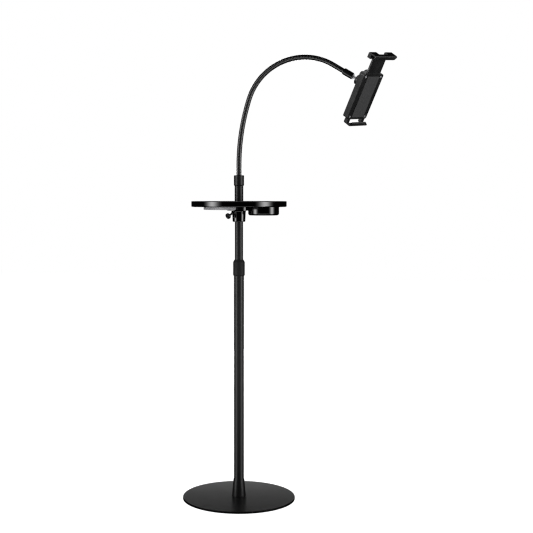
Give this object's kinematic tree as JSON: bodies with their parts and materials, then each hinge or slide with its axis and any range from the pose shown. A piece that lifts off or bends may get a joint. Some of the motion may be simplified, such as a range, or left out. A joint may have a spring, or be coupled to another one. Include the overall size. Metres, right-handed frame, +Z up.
{
  "type": "adjustable tablet floor stand",
  "caption": "Floor stand for a tablet: round weighted base, telescopic pole with twist lock, round tray with cup well, bendable ribbed neck, and a ball-jointed clamp with a sliding jaw.",
  "frame": {"origin": "centre of the anti-slip pad, on the floor under the pole", "axes": "+Z up along the pole; +X the way the neck bends; -Y to the side that the picture is taken from"},
  "size_m": [0.5291, 0.28, 1.0986],
  "materials": {
    "satin_black_paint": "satin",
    "matte_black_plastic": "matte",
    "gloss_black_plastic": "gloss",
    "satin_black_plastic": "satin",
    "black_rubber": "matte",
    "grey_sheet": "satin",
    "plated_steel": "satin"
  },
  "bodies": {
    "base": {"base_pad": "black_rubber", "base_disc": "satin_black_paint", "base_bolt": "plated_steel", "foot_plug": "plated_steel", "foot_cover": "satin_black_paint", "lower_pole": "satin_black_paint", "collet": "matte_black_plastic"},
    "lock_collar": {"lock_collar": "matte_black_plastic"},
    "upper_pole": {"upper_pole": "satin_black_paint", "guide_bush": "matte_black_plastic", "pole_sleeve": "satin_black_paint"},
    "tray_bush": {"tray_bush": "matte_black_plastic"},
    "tray": {"tray": "gloss_black_plastic", "tray_pan": "grey_sheet", "tray_screws": "plated_steel", "tray_hub": "gloss_black_plastic", "cup_well": "gloss_black_plastic"},
    "thumb_screw": {"thumb_screw": "satin_black_paint"},
    "neck_cap": {"neck_cap": "satin_black_paint"},
    "neck_root": {"neck_plug": "plated_steel", "neck_root": "satin_black_paint"},
    "neck_low_1": {"neck_low_1": "satin_black_paint"},
    "neck_low_2": {"neck_low_2": "satin_black_paint"},
    "neck_low_3": {"neck_low_3": "satin_black_paint"},
    "neck_high_1": {"neck_high_1": "satin_black_paint"},
    "neck_high_2": {"neck_high_2": "satin_black_paint"},
    "neck_high_3": {"neck_high_3": "satin_black_paint"},
    "neck_high_4": {"neck_high_4": "satin_black_paint"},
    "neck_high_5": {"neck_high_5": "satin_black_paint"},
    "neck_high_6": {"neck_high_6": "satin_black_paint"},
    "neck_high_7": {"neck_high_7": "satin_black_paint"},
    "neck_high_8": {"neck_high_8": "satin_black_paint"},
    "neck_high_9": {"neck_high_9": "satin_black_paint"},
    "neck_high_10": {"neck_high_10": "satin_black_paint"},
    "neck_high_11": {"neck_high_11": "satin_black_paint"},
    "neck_high_12": {"neck_high_12": "satin_black_paint"},
    "neck_end": {"neck_end": "satin_black_paint", "neck_ferrule": "satin_black_paint"},
    "ball_stud": {"ball_stud": "plated_steel"},
    "ball_socket": {"ball_socket": "satin_black_plastic", "swivel_bolt": "plated_steel"},
    "ring_nut": {"ring_nut": "satin_black_plastic"},
    "clamp": {"clamp_housing": "satin_black_plastic", "clamp_cover": "satin_black_plastic", "cover_screws": "plated_steel", "face_pad": "black_rubber", "lower_jaw": "satin_black_plastic", "lower_jaw_pad": "black_rubber", "lower_jaw_screws": "plated_steel"},
    "upper_jaw": {"jaw_arm": "satin_black_plastic", "upper_jaw": "satin_black_plastic", "upper_jaw_pad": "black_rubber"},
    "lock_knob": {"lock_knob": "satin_black_plastic"}
  },
  "joints": [
    {"name": "collar_twist", "type": "hinge", "parent": "base", "child": "lock_collar", "pos_m": [0, 0, 0.572], "axis": [0, 0, 1], "range_deg": [0, 120]},
    {"name": "pole_slide", "type": "slide", "parent": "base", "child": "upper_pole", "axis": [0, 0, 1], "range_m": [-0.045, 0.28]},
    {"name": "tray_slide", "type": "slide", "parent": "upper_pole", "child": "tray_bush", "axis": [0, 0, 1], "range_m": [-0.04, 0]},
    {"name": "tray_turn", "type": "hinge", "parent": "tray_bush", "child": "tray", "pos_m": [0, 0, 0.722], "axis": [0, 0, 1], "continuous": true},
    {"name": "thumb_screw_turn", "type": "hinge", "parent": "tray", "child": "thumb_screw", "pos_m": [-0.01598, -0.022, 0.71012], "axis": [-0.5327, -0.7332, -0.4226], "range_deg": [0, 180]},
    {"name": "cap_twist", "type": "hinge", "parent": "upper_pole", "child": "neck_cap", "pos_m": [0, 0, 0.792], "axis": [0, 0, 1], "range_deg": [0, 90]},
    {"name": "neck_swivel", "type": "hinge", "parent": "upper_pole", "child": "neck_root", "pos_m": [0, 0, 0.792], "axis": [0, 0, 1], "continuous": true},
    {"name": "neck_bend_low", "type": "hinge", "parent": "neck_root", "child": "neck_low_1", "pos_m": [0, 0, 0.831], "axis": [0, 1, 0], "range_deg": [-5.6, 3]},
    {"name": "neck_bend_low_2", "type": "hinge", "parent": "neck_low_1", "child": "neck_low_2", "pos_m": [0.0029, 0, 0.8864], "axis": [0, 1, 0], "range_deg": [-5.6, 3]},
    {"name": "neck_bend_low_3", "type": "hinge", "parent": "neck_low_2", "child": "neck_low_3", "pos_m": [0.01158, 0, 0.94119], "axis": [0, 1, 0], "range_deg": [-5.6, 3]},
    {"name": "neck_bend_high", "type": "hinge", "parent": "neck_low_3", "child": "neck_high_1", "pos_m": [0.02594, 0, 0.99478], "axis": [0, 1, 0], "range_deg": [-7.9, 2.5]},
    {"name": "neck_bend_high_2", "type": "hinge", "parent": "neck_high_1", "child": "neck_high_2", "pos_m": [0.03399, 0, 1.0144], "axis": [0, 1, 0], "range_deg": [-7.9, 2.5]},
    {"name": "neck_bend_high_3", "type": "hinge", "parent": "neck_high_2", "child": "neck_high_3", "pos_m": [0.04489, 0, 1.03259], "axis": [0, 1, 0], "range_deg": [-7.9, 2.5]},
    {"name": "neck_bend_high_4", "type": "hinge", "parent": "neck_high_3", "child": "neck_high_4", "pos_m": [0.0584, 0, 1.04893], "axis": [0, 1, 0], "range_deg": [-7.9, 2.5]},
    {"name": "neck_bend_high_5", "type": "hinge", "parent": "neck_high_4", "child": "neck_high_5", "pos_m": [0.0742, 0, 1.06307], "axis": [0, 1, 0], "range_deg": [-7.9, 2.5]},
    {"name": "neck_bend_high_6", "type": "hinge", "parent": "neck_high_5", "child": "neck_high_6", "pos_m": [0.09195, 0, 1.07468], "axis": [0, 1, 0], "range_deg": [-7.9, 2.5]},
    {"name": "neck_bend_high_7", "type": "hinge", "parent": "neck_high_6", "child": "neck_high_7", "pos_m": [0.11124, 0, 1.08349], "axis": [0, 1, 0], "range_deg": [-7.9, 2.5]},
    {"name": "neck_bend_high_8", "type": "hinge", "parent": "neck_high_7", "child": "neck_high_8", "pos_m": [0.13163, 0, 1.08932], "axis": [0, 1, 0], "range_deg": [-7.9, 2.5]},
    {"name": "neck_bend_high_9", "type": "hinge", "parent": "neck_high_8", "child": "neck_high_9", "pos_m": [0.15266, 0, 1.09201], "axis": [0, 1, 0], "range_deg": [-7.9, 2.5]},
    {"name": "neck_bend_high_10", "type": "hinge", "parent": "neck_high_9", "child": "neck_high_10", "pos_m": [0.17386, 0, 1.09153], "axis": [0, 1, 0], "range_deg": [-7.9, 2.5]},
    {"name": "neck_bend_high_11", "type": "hinge", "parent": "neck_high_10", "child": "neck_high_11", "pos_m": [0.19475, 0, 1.08787], "axis": [0, 1, 0], "range_deg": [-7.9, 2.5]},
    {"name": "neck_bend_high_12", "type": "hinge", "parent": "neck_high_11", "child": "neck_high_12", "pos_m": [0.21485, 0, 1.08112], "axis": [0, 1, 0], "range_deg": [-7.9, 2.5]},
    {"name": "neck_bend_high_13", "type": "hinge", "parent": "neck_high_12", "child": "neck_end", "pos_m": [0.23371, 0, 1.07143], "axis": [0, 1, 0], "range_deg": [-7.9, 2.5]},
    {"name": "ball_spin", "type": "hinge", "parent": "neck_end", "child": "ball_stud", "pos_m": [0.30064, 0, 1.03041], "axis": [0.8526, 0, -0.5225], "continuous": true},
    {"name": "ball_tilt", "type": "hinge", "parent": "ball_stud", "child": "ball_socket", "pos_m": [0.30064, 0, 1.03041], "axis": [-0.5108, 0.2107, -0.8335], "range_deg": [-58, 1.2]},
    {"name": "ring_nut_turn", "type": "hinge", "parent": "ball_socket", "child": "ring_nut", "pos_m": [0.30064, 0, 1.03041], "axis": [-0.6953, 0.469, 0.5446], "range_deg": [0, 90]},
    {"name": "clamp_roll", "type": "hinge", "parent": "ball_socket", "child": "clamp", "pos_m": [0.30064, 0, 1.03041], "axis": [0.6953, -0.469, -0.5446], "continuous": true},
    {"name": "jaw_slide", "type": "slide", "parent": "clamp", "child": "upper_jaw", "axis": [0.4021, -0.3743, 0.8356], "range_m": [-0.038, 0.035]},
    {"name": "lock_knob_turn", "type": "hinge", "parent": "clamp", "child": "lock_knob", "pos_m": [0.3107, -0.00936, 1.0513], "axis": [-0.6953, 0.469, 0.5446], "range_deg": [0, 180]}
  ],
  "couplings": [
    {"joint": "neck_bend_low_2", "follows": "neck_bend_low", "ratio": 1},
    {"joint": "neck_bend_low_3", "follows": "neck_bend_low", "ratio": 1},
    {"joint": "neck_bend_high_2", "follows": "neck_bend_high", "ratio": 1},
    {"joint": "neck_bend_high_3", "follows": "neck_bend_high", "ratio": 1},
    {"joint": "neck_bend_high_4", "follows": "neck_bend_high", "ratio": 1},
    {"joint": "neck_bend_high_5", "follows": "neck_bend_high", "ratio": 1},
    {"joint": "neck_bend_high_6", "follows": "neck_bend_high", "ratio": 1},
    {"joint": "neck_bend_high_7", "follows": "neck_bend_high", "ratio": 1},
    {"joint": "neck_bend_high_8", "follows": "neck_bend_high", "ratio": 1},
    {"joint": "neck_bend_high_9", "follows": "neck_bend_high", "ratio": 1},
    {"joint": "neck_bend_high_10", "follows": "neck_bend_high", "ratio": 1},
    {"joint": "neck_bend_high_11", "follows": "neck_bend_high", "ratio": 1},
    {"joint": "neck_bend_high_12", "follows": "neck_bend_high", "ratio": 1},
    {"joint": "neck_bend_high_13", "follows": "neck_bend_high", "ratio": 1}
  ]
}
